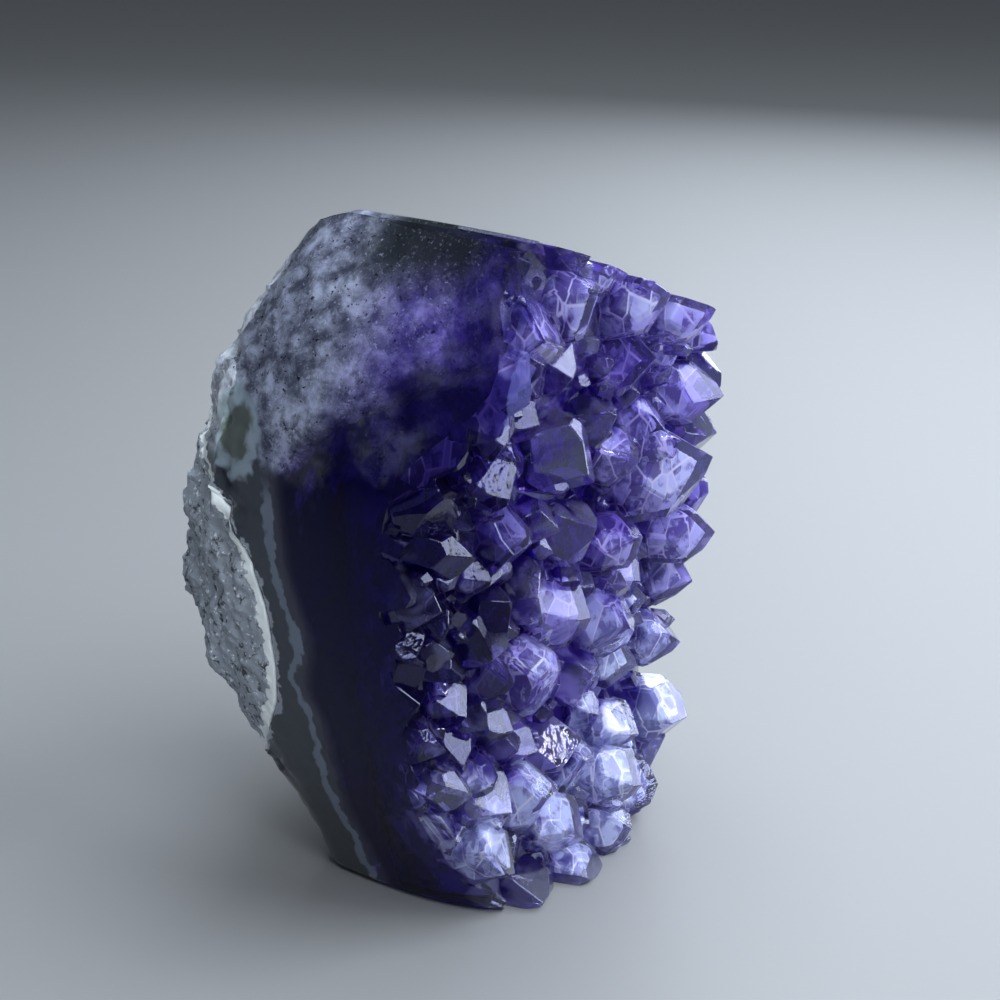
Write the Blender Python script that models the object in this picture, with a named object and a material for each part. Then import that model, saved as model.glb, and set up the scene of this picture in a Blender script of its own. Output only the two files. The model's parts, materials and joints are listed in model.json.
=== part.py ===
"""Amethyst freeform: a thick slice of geode wall, ground and polished round its rim, on a small flat foot.

Crystals grow from the rock behind towards the open face. A patch of the host rock is still on the back.
Run it in Blender 4.5: blender --background --python part.py
"""

import math
import random

import bmesh
import bpy
from mathutils import Matrix, Vector, noise

MM = 0.001

# The stone is described by growth (out of the open face), across (the near rim is negative) and height.
FACING = math.radians(52)
GROWTH = Vector((math.sin(FACING), -math.cos(FACING), 0.0))
ACROSS = Vector((math.cos(FACING), math.sin(FACING), 0.0))
# Where the growth axis stands, so that the finished stone's box is centred on the origin.
STAND = Vector((-4.5, -2.25, 0.0))

# The ground form at these shares of its height: how far it reaches, in mm, to the rock, to the near rim, to
# the far rim, and out of the open face near the viewer and away from them; last, how far out the floor of the
# crystals lies.
SECTIONS = (
    (0.00, 6.5, 14.5, 25.0, 25.0, 25.0, 20.0),
    (0.08, 8.0, 17.0, 27.0, 27.0, 30.0, 18.5),
    (0.20, 14.6, 21.0, 28.5, 34.0, 38.0, 17.5),
    (0.35, 24.0, 24.0, 30.5, 38.0, 42.0, 17.0),
    (0.50, 25.0, 25.0, 35.5, 38.0, 42.0, 17.5),
    (0.65, 22.6, 24.5, 36.5, 33.0, 42.0, 18.0),
    (0.80, 18.6, 20.5, 36.5, 26.0, 41.0, 19.0),
    (0.92, 13.0, 15.0, 36.0, 24.0, 38.0, 20.0),
    (1.00, 9.0, 10.5, 34.0, 22.0, 34.0, 20.5),
)
ROCK, NEAR, FAR, OPEN_NEAR, OPEN_FAR, FLOOR = 1, 2, 3, 4, 5, 6
SQUARENESS = 2.6
TOP_MIDDLE = 76.0
TOP_FALL = 0.42
TOP_DOME = 1.2
# How much the top cut falls towards the back, in mm for each mm.
TOP_BACK_FALL = 0.25
RIM_ROUND = 1.6
FOOT_ROUND = 1.0
RING_POINTS = 60
RINGS = 26
ROUND_STEPS = 3

# The back was never ground: lumps this high, as a share of the reach, start this far behind the axis, in mm,
# and have their full height this much further on.
BACK_LUMPS = 0.09
BACK_START = 6.0
BACK_FADE = 10.0
LUMP_SCALE = 0.16

# Near the viewer the top of the floor swells into a shoulder, which grinding turned into a smooth skin.
SHOULDER_PLACE = (-19.0, 67.0)
SHOULDER_WIDTH = 9.0
SHOULDER_HEIGHT = 7.0

# The floor is carried this far past the rim, so that the rim's cut leaves no step.
FLOOR_MARGIN = 9.0

# Quartz ends in six faces, each 38.2 degrees from the crystal's axis. In most crystals three of them come
# close to the tip and the three between stand back, here by these shares of the point's height.
POINT_SLOPE = math.radians(38.2)
CLOSE_FACES = (0.0, 0.06)
FAR_FACES = (0.1, 0.4)
CRYSTAL_FORMS = 6
ROOT_LENGTH = 1.7

# The unnamed crystals: widths in mm, largest first; how near two may stand, as a share of their widths
# together; how far they stand out of the floor, as a share of their width; how they fan out and lean.
LARGEST = 10.5
SMALLEST = 4.6
CLOSENESS = 0.36
STANDING_OUT = (0.35, 0.85)
ATTEMPTS = 1200
FANNING = 0.6
SIDE_LEAN = 0.4
SIDE_SPREAD = 0.008
UP_LEAN = (-0.3, 0.4)
ACROSS_RANGE = (-33.0, 43.0)
HEIGHT_RANGE = (-1.0, 84.0)
ABOVE_TOP = 3.0
SEED = 10
# The crystals that are told apart from the rest: across, height, reach out of the floor and width in mm,
# and how far each leans across and upwards.
HEROES = (
    (31.0, 61.0, 8.0, 7.5, 0.5, 0.1),
    (25.0, 54.0, 7.5, 8.5, 0.5, 0.0),
    (19.0, 45.5, 10.0, 12.5, 0.4, 0.3),
    (25.0, 36.0, 8.5, 8.5, 0.5, 0.0),
    (24.5, 21.5, 6.0, 8.0, 0.3, -0.1),
    (23.0, 12.0, 8.5, 9.0, 0.3, 0.0),
    (11.0, 29.0, 8.0, 9.5, -0.3, 0.2),
    (-4.0, 27.5, 7.5, 9.5, -0.5, 0.3),
    (-23.5, 20.5, 5.5, 8.0, -0.6, 0.7),
    (-20.0, 12.5, 5.5, 11.5, -0.5, 0.5),
    (-6.0, 13.0, 7.0, 8.5, -0.2, 0.3),
    (10.0, 9.0, 7.5, 8.5, 0.1, 0.0),
    (-22.0, 60.0, 6.0, 8.0, -0.6, 0.5),
    (-17.0, 67.0, 4.5, 10.0, -0.4, 0.6),
    (0.0, 70.5, 5.5, 9.0, -0.1, 0.4),
    (11.0, 68.0, 7.0, 8.0, 0.1, 0.3),
    (20.0, 65.0, 7.5, 7.5, 0.3, 0.2),
    (6.0, 56.0, 5.0, 7.5, 0.0, 0.2),
    (-10.0, 46.0, 6.0, 9.5, -0.4, 0.0),
    (3.0, 43.0, 6.0, 8.5, -0.1, 0.3),
    (-12.0, 35.0, 5.0, 8.0, -0.3, -0.2),
)

# The patch of host rock on the back is a lumpy lens: its middle and radii along growth, across and height,
# its coarse and fine lumps in mm with their scales, and half the gap that is left round it.
ROCK_CENTRE = (-21.5, -20.0, 33.7)
ROCK_RADII = (20.2, 25.0, 23.0)
ROCK_LUMPS = ((1.2, 2.3), (0.48, 5.1))
ROCK_GAP = 0.15

AMETHYST_COLOUR = (0.20, 0.12, 0.45, 1.0)
ROCK_COLOUR = (0.26, 0.26, 0.25, 1.0)


def place(growth, across, height):
    """A point of the stone, in metres, from its three measures in mm."""
    point = GROWTH * growth + ACROSS * across + STAND
    return Vector((point.x, point.y, point.z + height)) * MM


def blend_keys(share, column):
    """A value of SECTIONS at a share of the height, on a smooth curve through its rows."""
    rows = SECTIONS
    last = len(rows) - 1
    i = max(k for k in range(last) if rows[k][0] <= share or k == 0)
    a, b = rows[i], rows[i + 1]
    before, after = rows[max(i - 1, 0)], rows[min(i + 2, last)]
    span = b[0] - a[0]
    t = (share - a[0]) / span
    rise_a = (b[column] - before[column]) / (b[0] - before[0]) * span
    rise_b = (after[column] - a[column]) / (after[0] - a[0]) * span
    return (
        (2 * t**3 - 3 * t**2 + 1) * a[column]
        + (t**3 - 2 * t**2 + t) * rise_a
        + (3 * t**2 - 2 * t**3) * b[column]
        + (t**3 - t**2) * rise_b
    )


def outline(share, angle, inset=0.0):
    """Growth and across of the ground form at a share of the height, in a direction round the axis."""
    aside = (1 + math.sin(angle)) / 2
    deep = blend_keys(share, OPEN_NEAR) * (1 - aside) + blend_keys(share, OPEN_FAR) * aside
    return rounded_square(share, angle, deep, 0.0, inset)


def floor_outline(share, angle):
    """The same for the floor of the crystals."""
    growth, across = rounded_square(share, angle, blend_keys(share, FLOOR), FLOOR_MARGIN, 0.0)
    if growth > 0:
        growth += shoulder(across, share * top_height(across))
    return growth, across


def rounded_square(share, angle, front, margin, inset):
    """A point of the form's rounded square section."""
    along, aside = math.cos(angle), math.sin(angle)
    deep = front if along > 0 else blend_keys(share, ROCK) + margin
    wide = blend_keys(share, FAR if aside > 0 else NEAR) + margin
    power = SQUARENESS
    radius = (abs(along / deep) ** power + abs(aside / wide) ** power) ** (-1 / power) - inset
    return radius * along, radius * aside


def shoulder(across, height):
    """How far the shoulder lifts the floor here, in mm."""
    away = math.hypot(across - SHOULDER_PLACE[0], height - SHOULDER_PLACE[1]) / SHOULDER_WIDTH
    return SHOULDER_HEIGHT * math.exp(-away * away)


def top_height(across):
    """Height of the sloping top cut, in mm."""
    return TOP_MIDDLE - TOP_FALL * across


def mesh_object(name, bm):
    """A closed mesh with its faces pointing out, as a new object."""
    bmesh.ops.recalc_face_normals(bm, faces=bm.faces)
    mesh = bpy.data.meshes.new(name)
    bm.to_mesh(mesh)
    bm.free()
    obj = bpy.data.objects.new(name, mesh)
    bpy.context.scene.collection.objects.link(obj)
    return obj


def helper(obj):
    """Keeps a cutter out of the finished part."""
    obj.hide_render = True
    obj.display_type = "WIRE"
    return obj


def lofted(name, rings, foot, head):
    """A solid through rings of points, closed by a point at the foot and one at the head."""
    bm = bmesh.new()
    loops = [[bm.verts.new(p) for p in ring] for ring in rings]
    for low, high in zip(loops, loops[1:]):
        for i in range(len(low)):
            j = (i + 1) % len(low)
            bm.faces.new((low[i], low[j], high[j], high[i]))
    for loop, tip in ((loops[0], foot), (loops[-1], head)):
        point = bm.verts.new(tip)
        for i in range(len(loop)):
            bm.faces.new((loop[i], loop[(i + 1) % len(loop)], point))
    return mesh_object(name, bm)


def ground_form():
    """The form that grinding gave the stone: rings, rounded over at the sloping top and the flat foot."""
    turns = [math.pi / 2 * k / ROUND_STEPS for k in range(ROUND_STEPS + 1)]
    levels = [(0.0, FOOT_ROUND * (1 - math.sin(t)), FOOT_ROUND * (1 - math.cos(t))) for t in turns]
    levels += [(k / RINGS, 0.0, 0.0) for k in range(1, RINGS)]
    levels += [(1.0, RIM_ROUND * (1 - math.cos(t)), -RIM_ROUND * (1 - math.sin(t))) for t in turns]
    rings = []
    for share, inset, lift in levels:
        ring = []
        for i in range(RING_POINTS):
            growth, across = outline(share, 2 * math.pi * i / RING_POINTS, inset)
            growth, across = roughened(share, growth, across)
            top = top_height(across) - TOP_BACK_FALL * max(-growth, 0.0)
            ring.append(place(growth, across, share * top + lift))
        rings.append(ring)
    head = place(0.0, 0.0, top_height(0.0) + TOP_DOME)
    return lofted("ground_form", rings, place(0.0, 0.0, 0.0), head)


def roughened(share, growth, across):
    """Low lumps on the back, fading out towards the polished rim."""
    if not 0.0 < share < 1.0:
        return growth, across
    away = min(max((-growth - BACK_START) / BACK_FADE, 0.0), 1.0)
    lump = noise.noise(Vector((growth, across, share * TOP_MIDDLE)) * LUMP_SCALE)
    scale = 1.0 + BACK_LUMPS * away * lump
    return growth * scale, across * scale


def floor_block():
    """Everything behind the floor of the crystals, carried past the rim so that only its front is kept."""
    rings = []
    for k in range(-1, RINGS + 3, 3):
        share = k / RINGS
        ring = []
        for i in range(0, RING_POINTS, 2):
            growth, across = floor_outline(min(max(share, 0.0), 1.0), 2 * math.pi * i / RING_POINTS)
            ring.append(place(growth, across, share * top_height(across)))
        rings.append(ring)
    low = place(0.0, 0.0, -top_height(0.0) / RINGS)
    high = place(0.0, 0.0, top_height(0.0) * (RINGS + 2) / RINGS)
    return lofted("amethyst", rings, low, high)


def crystal_form(chance):
    """One crystal of unit width, tip at the origin, axis along +Z: a six-sided prism cut by six end faces."""
    bm = bmesh.new()
    bmesh.ops.create_cone(
        bm,
        cap_ends=True,
        segments=6,
        radius1=0.5,
        radius2=0.5,
        depth=2 * ROOT_LENGTH,
        matrix=Matrix.Translation((0, 0, -ROOT_LENGTH / 2)),
    )
    apothem = 0.5 * math.cos(math.pi / 6)
    height = apothem / math.tan(POINT_SLOPE)
    for side in range(6):
        turn = math.radians(30 + 60 * side)
        back = chance.uniform(*(FAR_FACES if side % 2 else CLOSE_FACES))
        outwards = Vector((math.cos(turn), math.sin(turn), 0.0))
        normal = outwards * math.cos(POINT_SLOPE) + Vector((0, 0, math.sin(POINT_SLOPE)))
        edge = outwards * apothem * (1 + back / 2) + Vector((0, 0, height * (back - 1)))
        geometry = bm.verts[:] + bm.edges[:] + bm.faces[:]
        cut = bmesh.ops.bisect_plane(bm, geom=geometry, plane_co=edge, plane_no=normal, clear_outer=True)
        rim = [e for e in cut["geom_cut"] if isinstance(e, bmesh.types.BMEdge)]
        bmesh.ops.contextual_create(bm, geom=rim)
    return bm


def crystal(name, form, tip, axis, width, turn):
    """A copy of a form, of this width in mm, with its tip at a point and its axis pointing outwards."""
    obj = bpy.data.objects.new(name, form)
    bpy.context.scene.collection.objects.link(obj)
    spin = axis.to_track_quat("Z", "Y").to_matrix().to_4x4() @ Matrix.Rotation(turn, 4, "Z")
    obj.matrix_world = Matrix.Translation(tip) @ spin @ Matrix.Scale(width * MM, 4)
    return helper(obj)


def floor_point(across, height):
    """The floor's growth, in mm, and its outward direction, at a place on the open face."""
    share = min(max(height / top_height(across), 0.0), 1.0)
    deep = blend_keys(share, FLOOR)
    wide = blend_keys(share, FAR if across > 0 else NEAR) + FLOOR_MARGIN
    rest = max(1 - abs(across / wide) ** SQUARENESS, 0.02)
    growth = deep * rest ** (1 / SQUARENESS)
    lean = (growth / deep) ** (SQUARENESS - 1) / deep
    side = math.copysign((abs(across) / wide) ** (SQUARENESS - 1) / wide, across)
    outwards = (GROWTH * lean + ACROSS * side).normalized()
    return growth + shoulder(across, height), outwards


def crust():
    """The crystals, each its own helper, in one collection."""
    chance = random.Random(SEED)
    forms = []
    for k in range(CRYSTAL_FORMS):
        mesh = bpy.data.meshes.new(f"crystal_form_{k}")
        bm = crystal_form(chance)
        bmesh.ops.recalc_face_normals(bm, faces=bm.faces)
        bm.to_mesh(mesh)
        bm.free()
        forms.append(mesh)
    wanted = [(*hero, chance.uniform(0, math.pi), chance.randrange(CRYSTAL_FORMS)) for hero in HEROES]
    for attempt in range(ATTEMPTS):
        across = chance.uniform(*ACROSS_RANGE)
        height = chance.uniform(*HEIGHT_RANGE)
        # Large crystals find their places first, then smaller ones fill what is left between them.
        width = LARGEST - (LARGEST - SMALLEST) * (attempt / ATTEMPTS) ** 0.5
        reach = width * chance.uniform(*STANDING_OUT)
        leans = (chance.uniform(-SIDE_LEAN, SIDE_LEAN) + across * SIDE_SPREAD, chance.uniform(*UP_LEAN))
        look = (chance.uniform(0, math.pi), chance.randrange(CRYSTAL_FORMS))
        taken = any(math.hypot(across - w[0], height - w[1]) < CLOSENESS * (width + w[3]) for w in wanted)
        if not taken and height < top_height(across) + ABOVE_TOP:
            wanted.append((across, height, reach, width, *leans, *look))
    made = bpy.data.collections.new("crystals")
    for n, (across, height, reach, width, aside, upward, turn, form) in enumerate(wanted):
        growth, normal = floor_point(across, height)
        lean = ACROSS * aside + Vector((0, 0, upward))
        axis = (normal * FANNING + GROWTH * (1 - FANNING) + lean).normalized()
        root = place(growth, across, height)
        obj = crystal(f"crystal_{n:03d}", forms[form], root + axis * reach * MM, axis, width, turn)
        bpy.context.scene.collection.objects.unlink(obj)
        made.objects.link(obj)
    bpy.context.scene.collection.children.link(made)
    return made


def rock_lens(name, shrink):
    """The lumpy lens that the host rock fills."""
    bm = bmesh.new()
    bmesh.ops.create_icosphere(bm, subdivisions=4, radius=1.0)
    for v in bm.verts:
        lump = sum(size * noise.noise(v.co * scale) for size, scale in ROCK_LUMPS)
        lens = zip(ROCK_CENTRE, ROCK_RADII, v.co)
        v.co = place(*(centre + (radius + lump - shrink) * side for centre, radius, side in lens))
    return helper(mesh_object(name, bm))


def boolean(obj, name, operation, other):
    """A live Boolean with an object or a collection of them."""
    step = obj.modifiers.new(name, "BOOLEAN")
    step.operation = operation
    step.solver = "EXACT"
    if isinstance(other, bpy.types.Collection):
        step.operand_type = "COLLECTION"
        step.collection = other
    else:
        step.object = other


def material(name, colour, roughness):
    made = bpy.data.materials.new(name)
    made.use_nodes = True
    shader = made.node_tree.nodes["Principled BSDF"]
    shader.inputs["Base Color"].default_value = colour
    shader.inputs["Roughness"].default_value = roughness
    shader.inputs["Metallic"].default_value = 0.0
    return made


def amethyst(ground):
    """The quartz in one piece: banded rind, body and crystals grown together."""
    stone = floor_block()
    boolean(stone, "crystals", "UNION", crust())
    boolean(stone, "ground_rim", "INTERSECT", ground)
    boolean(stone, "rock_seat", "DIFFERENCE", rock_lens("rock_seat", -ROCK_GAP))
    stone.data.materials.append(material("amethyst", AMETHYST_COLOUR, 0.12))
    return stone


def host_rock(ground):
    """The grey host rock that is left on the back, as its own stone."""
    rock = ground.copy()
    rock.name = "basalt_matrix"
    rock.data = ground.data.copy()
    rock.hide_render = False
    rock.display_type = "TEXTURED"
    bpy.context.scene.collection.objects.link(rock)
    boolean(rock, "rock_lens", "INTERSECT", rock_lens("rock_lens", ROCK_GAP))
    rock.data.materials.append(material("basalt", ROCK_COLOUR, 0.85))
    return rock


def build():
    for old in list(bpy.data.objects):
        bpy.data.objects.remove(old)
    ground = helper(ground_form())
    amethyst(ground)
    host_rock(ground)


build()
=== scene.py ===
# %% [markdown]
# # Amethyst freeform
#
# A slice of geode wall, cut and polished round its rim. Seen from the front, the polished rim is on the
# left and the natural crystals look out to the right. Each step below says what a piece is on the real
# stone, how it could be made, and why it is made this way.

import json
import math
import random

import bmesh
import bpy
from mathutils import Matrix, Vector, noise

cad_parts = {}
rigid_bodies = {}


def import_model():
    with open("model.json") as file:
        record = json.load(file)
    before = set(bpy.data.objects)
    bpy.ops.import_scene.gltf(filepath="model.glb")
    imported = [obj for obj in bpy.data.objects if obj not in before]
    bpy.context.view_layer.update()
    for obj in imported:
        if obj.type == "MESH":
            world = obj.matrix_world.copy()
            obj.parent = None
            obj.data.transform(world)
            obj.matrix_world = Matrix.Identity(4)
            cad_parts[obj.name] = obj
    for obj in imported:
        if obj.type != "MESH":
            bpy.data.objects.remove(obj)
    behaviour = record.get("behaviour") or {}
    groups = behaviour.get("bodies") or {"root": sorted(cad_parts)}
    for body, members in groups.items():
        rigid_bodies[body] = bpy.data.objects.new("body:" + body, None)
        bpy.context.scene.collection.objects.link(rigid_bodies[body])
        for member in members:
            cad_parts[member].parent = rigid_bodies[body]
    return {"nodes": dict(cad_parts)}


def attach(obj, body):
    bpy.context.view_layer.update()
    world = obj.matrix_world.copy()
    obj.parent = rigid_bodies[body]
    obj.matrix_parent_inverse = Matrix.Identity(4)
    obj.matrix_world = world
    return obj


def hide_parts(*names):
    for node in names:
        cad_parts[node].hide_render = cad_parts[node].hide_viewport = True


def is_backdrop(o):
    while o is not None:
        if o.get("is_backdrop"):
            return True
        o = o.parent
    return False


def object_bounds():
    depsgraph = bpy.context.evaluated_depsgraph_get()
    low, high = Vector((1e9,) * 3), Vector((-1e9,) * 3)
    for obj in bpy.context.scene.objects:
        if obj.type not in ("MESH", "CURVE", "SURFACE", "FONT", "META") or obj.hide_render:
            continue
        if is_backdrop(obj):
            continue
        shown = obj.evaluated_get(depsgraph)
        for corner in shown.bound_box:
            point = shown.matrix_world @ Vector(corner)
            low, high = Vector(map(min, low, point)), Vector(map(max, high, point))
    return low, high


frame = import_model()
cad_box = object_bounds()
MM = 0.001
print("nodes:", sorted(frame["nodes"]))

# %% [markdown]
# ## Measures of the stone
#
# A geode slice has its own directions. Crystals grow out of the rock, so growth is one of them; across
# runs along the open face, from the near rim to the far rim; height is plain up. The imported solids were
# drawn with the same measures, so every piece below lies where its solid does.

# %% Directions and places
FACING = math.radians(52)
GROWTH = Vector((math.sin(FACING), -math.cos(FACING), 0.0))
ACROSS = Vector((math.cos(FACING), math.sin(FACING), 0.0))
STAND = Vector((-4.5, -2.25, 0.0))


def place(growth, across, height):
    """The point in the scene, in metres, for three measures in millimetres."""
    point = GROWTH * growth + ACROSS * across + STAND
    return Vector((point.x, point.y, point.z + height)) * MM


def measures(point):
    flat = Vector((point.x, point.y, 0.0)) / MM - STAND
    return flat.dot(GROWTH), flat.dot(ACROSS), point.z / MM


# %% [markdown]
# ## Sections of the ground form
#
# A ground stone has no straight edge and no true circle. It is told by level sections, as a boat's hull
# is. Each row is a share of the height, then how far, in millimetres, the stone reaches from its middle
# towards the rock, the near rim, the far rim, the open face at its near and its far end, and the floor of
# the crystals. A smooth curve through the rows gives every level between them.

# %% The ground form's sections
SECTIONS = (
    (0.00, 6.5, 14.5, 25.0, 25.0, 25.0, 20.0),
    (0.08, 8.0, 17.0, 27.0, 27.0, 30.0, 18.5),
    (0.20, 14.6, 21.0, 28.5, 34.0, 38.0, 17.5),
    (0.35, 24.0, 24.0, 30.5, 38.0, 42.0, 17.0),
    (0.50, 25.0, 25.0, 35.5, 38.0, 42.0, 17.5),
    (0.65, 22.6, 24.5, 36.5, 33.0, 42.0, 18.0),
    (0.80, 18.6, 20.5, 36.5, 26.0, 41.0, 19.0),
    (0.92, 13.0, 15.0, 36.0, 24.0, 38.0, 20.0),
    (1.00, 9.0, 10.5, 34.0, 22.0, 34.0, 20.5),
)
ROCK, NEAR, FAR, OPEN_NEAR, OPEN_FAR, FLOOR = 1, 2, 3, 4, 5, 6
SQUARENESS = 2.6
TOP_MIDDLE, TOP_FALL, TOP_DOME, TOP_BACK_FALL = 76.0, 0.42, 1.2, 0.25
RIM_ROUND, FOOT_ROUND, ROUND_STEPS = 1.6, 1.0, 4
BACK_LUMPS, BACK_START, BACK_FADE, LUMP_SCALE = 0.09, 6.0, 10.0, 0.16
FINE_LUMPS, FINE_SCALES = 0.035, ((0.5, 1.0), (1.3, 0.8))
EDGE_START, EDGE_FADE = 2.0, 5.0
SHOULDER_PLACE, SHOULDER_WIDTH, SHOULDER_HEIGHT = (-19.0, 67.0), 9.0, 7.0
FLOOR_MARGIN = 9.0


def blend_keys(share, column, rows=SECTIONS):
    """A column's value between the rows, on a smooth curve through them."""
    last = len(rows) - 1
    share = min(max(share, rows[0][0]), rows[last][0])
    i = max(k for k in range(last) if rows[k][0] <= share)
    a, b = rows[i], rows[i + 1]
    before, after = rows[max(i - 1, 0)], rows[min(i + 2, last)]
    span = b[0] - a[0]
    t = (share - a[0]) / span
    rise_a = (b[column] - before[column]) / (b[0] - before[0]) * span
    rise_b = (after[column] - a[column]) / (after[0] - a[0]) * span
    return (
        (2 * t**3 - 3 * t**2 + 1) * a[column]
        + (t**3 - 2 * t**2 + t) * rise_a
        + (3 * t**2 - 2 * t**3) * b[column]
        + (t**3 - t**2) * rise_b
    )


def smooth(low, high, value):
    """A soft step from 0 at low to 1 at high; low may be the larger."""
    t = min(max((value - low) / (high - low), 0.0), 1.0)
    return t * t * (3 - 2 * t)


def top_height(across):
    return TOP_MIDDLE - TOP_FALL * across


def shoulder(across, height):
    """How much the floor swells under the crystals at the near top."""
    away = math.hypot(across - SHOULDER_PLACE[0], height - SHOULDER_PLACE[1]) / SHOULDER_WIDTH
    return SHOULDER_HEIGHT * math.exp(-away * away)


def rounded_square(share, angle, front, margin, inset):
    along, aside = math.cos(angle), math.sin(angle)
    deep = front if along > 0 else blend_keys(share, ROCK) + margin
    wide = blend_keys(share, FAR if aside > 0 else NEAR) + margin
    radius = (abs(along / deep) ** SQUARENESS + abs(aside / wide) ** SQUARENESS) ** (-1 / SQUARENESS) - inset
    return radius * along, radius * aside


def outline(share, angle, inset=0.0):
    aside = (1 + math.sin(angle)) / 2
    deep = blend_keys(share, OPEN_NEAR) * (1 - aside) + blend_keys(share, OPEN_FAR) * aside
    return rounded_square(share, angle, deep, 0.0, inset)


def floor_outline(share, angle):
    growth, across = rounded_square(share, angle, blend_keys(share, FLOOR), FLOOR_MARGIN, 0.0)
    if growth > 0:
        growth += shoulder(across, share * top_height(across))
    return growth, across


# %% [markdown]
# ## Hand tools
#
# Every piece is made as a modeller makes it by hand: pick an object, cut it with another or join them,
# copy it, and delete what has done its work. These functions do that and report what came out.

# %% Picking, cutting, copying and reporting
def clear_selection():
    if bpy.context.object and bpy.context.object.mode != "OBJECT":
        bpy.ops.object.mode_set(mode="OBJECT")
    bpy.ops.object.select_all(action="DESELECT")


def pick(obj):
    clear_selection()
    obj.select_set(True)
    bpy.context.view_layer.objects.active = obj


def carve(obj, other, operation):
    """Cut an object by another or by a group of them, or join them."""
    pick(obj)
    step = obj.modifiers.new("carve", "BOOLEAN")
    step.operation = operation
    step.solver = "MANIFOLD"
    if isinstance(other, bpy.types.Collection):
        step.operand_type = "COLLECTION"
        step.collection = other
    else:
        step.object = other
    bpy.ops.object.modifier_apply(modifier=step.name)


def copy_of(obj, name):
    twin = obj.copy()
    twin.data = obj.data.copy()
    twin.name = twin.data.name = name
    bpy.context.scene.collection.objects.link(twin)
    return twin


def remove(*objs):
    for obj in objs:
        bpy.data.objects.remove(obj)


def report(obj):
    """Print a piece's triangles, open edges and size."""
    bm = bmesh.new()
    bm.from_mesh(obj.data)
    loose = sum(not e.is_manifold for e in bm.edges)
    tris = sum(len(f.verts) - 2 for f in bm.faces)
    size = [round(v / MM, 1) for v in obj.dimensions]
    bm.free()
    print(f"{obj.name}: {tris} triangles, {loose} open edges, {size} mm")


# %% [markdown]
# ## The ground form
#
# Grinding gave the stone a smooth pebble-like rim, a sloping top cut and a flat foot. It could be
# sculpted, but a sphere already has the right rings and seams: each of its rings is pulled to one
# section of the stone.

# %% A sphere pulled into the stone's form
def sphere_to_rings(name, segments, levels, ring_point, foot, head):
    clear_selection()
    bpy.ops.mesh.primitive_uv_sphere_add(segments=segments, ring_count=len(levels) + 1, radius=1.0)
    obj = bpy.context.object
    obj.name = obj.data.name = name
    for v in obj.data.vertices:
        ring = round(math.acos(max(-1.0, min(1.0, v.co.z))) / math.pi * (len(levels) + 1))
        if ring == 0:
            v.co = head
        elif ring == len(levels) + 1:
            v.co = foot
        else:
            turn = round(math.atan2(v.co.y, v.co.x) / (2 * math.pi) * segments) % segments
            v.co = ring_point(levels[-ring], 2 * math.pi * turn / segments)
    pick(obj)
    bpy.ops.object.mode_set(mode="EDIT")
    bpy.ops.mesh.select_all(action="SELECT")
    bpy.ops.mesh.normals_make_consistent(inside=False)
    bpy.ops.object.mode_set(mode="OBJECT")
    return obj


def lumps(share, growth, across):
    """By how much the natural back and edge swell or shrink at a place, as a factor."""
    if not 0.0 < share < 1.0:
        return 1.0
    away = min(max((-growth - BACK_START) / BACK_FADE, 0.0), 1.0)
    at = Vector((growth, across, share * TOP_MIDDLE))
    lump = BACK_LUMPS * noise.noise(at * LUMP_SCALE)
    edge = min(max((-growth - EDGE_START) / EDGE_FADE, 0.0), 1.0)
    fine = FINE_LUMPS * sum(size * noise.noise(at * scale) for scale, size in FINE_SCALES)
    return 1.0 + away * lump + edge * fine


def ring_levels(rings):
    """For each ring from the foot up: its share of the height, how far it is set in, and its lift."""
    turns = [math.pi / 2 * k / ROUND_STEPS for k in range(ROUND_STEPS + 1)]
    levels = [(0.0, FOOT_ROUND * (1 - math.sin(t)), FOOT_ROUND * (1 - math.cos(t))) for t in turns]
    levels += [(k / rings, 0.0, 0.0) for k in range(1, rings)]
    return levels + [(1.0, RIM_ROUND * (1 - math.cos(t)), -RIM_ROUND * (1 - math.sin(t))) for t in turns]


def ring_height(share, growth, across, lift):
    return share * (top_height(across) - TOP_BACK_FALL * max(-growth, 0.0)) + lift


def ground_point(level, angle):
    share, rounding, lift = level
    growth, across = outline(share, angle, rounding)
    swell = lumps(share, growth, across)
    growth, across = growth * swell, across * swell
    return place(growth, across, ring_height(share, growth, across, lift))


def ground_form(name, segments, rings):
    head = place(0.0, 0.0, top_height(0.0) + TOP_DOME)
    return sphere_to_rings(name, segments, ring_levels(rings), ground_point, place(0.0, 0.0, 0.0), head)


# %% [markdown]
# ## The floor under the crystals
#
# Behind the points the quartz is one solid mass. Its front face is the floor that the crystals stand
# on.

# %% The floor's block
def floor_block(name, segments, rings):
    levels = [k / rings for k in range(-1, rings + 2)]

    def ring_point(share, angle):
        growth, across = floor_outline(min(max(share, 0.0), 1.0), angle)
        return place(growth, across, share * top_height(across))

    foot = place(0.0, 0.0, levels[0] * top_height(0.0))
    head = place(0.0, 0.0, levels[-1] * top_height(0.0))
    return sphere_to_rings(name, segments, levels, ring_point, foot, head)


# %% [markdown]
# ## Crystals
#
# An amethyst point is a six-sided quartz prism with six sloping end faces. A cylinder with six sides is
# cut by six planes, as a modeller would bisect it, and its edges are bevelled a hair so that they catch
# light.

# %% One crystal, its tip at the origin
POINT_SLOPE = math.radians(38.2)
CLOSE_FACES, FAR_FACES = (0.0, 0.06), (0.1, 0.4)
CRYSTAL_FORMS = 6
EDGE_WIDTH = 0.012
ROOT_LENGTH = 1.7
SEED = 10
chance = random.Random(SEED)


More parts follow.
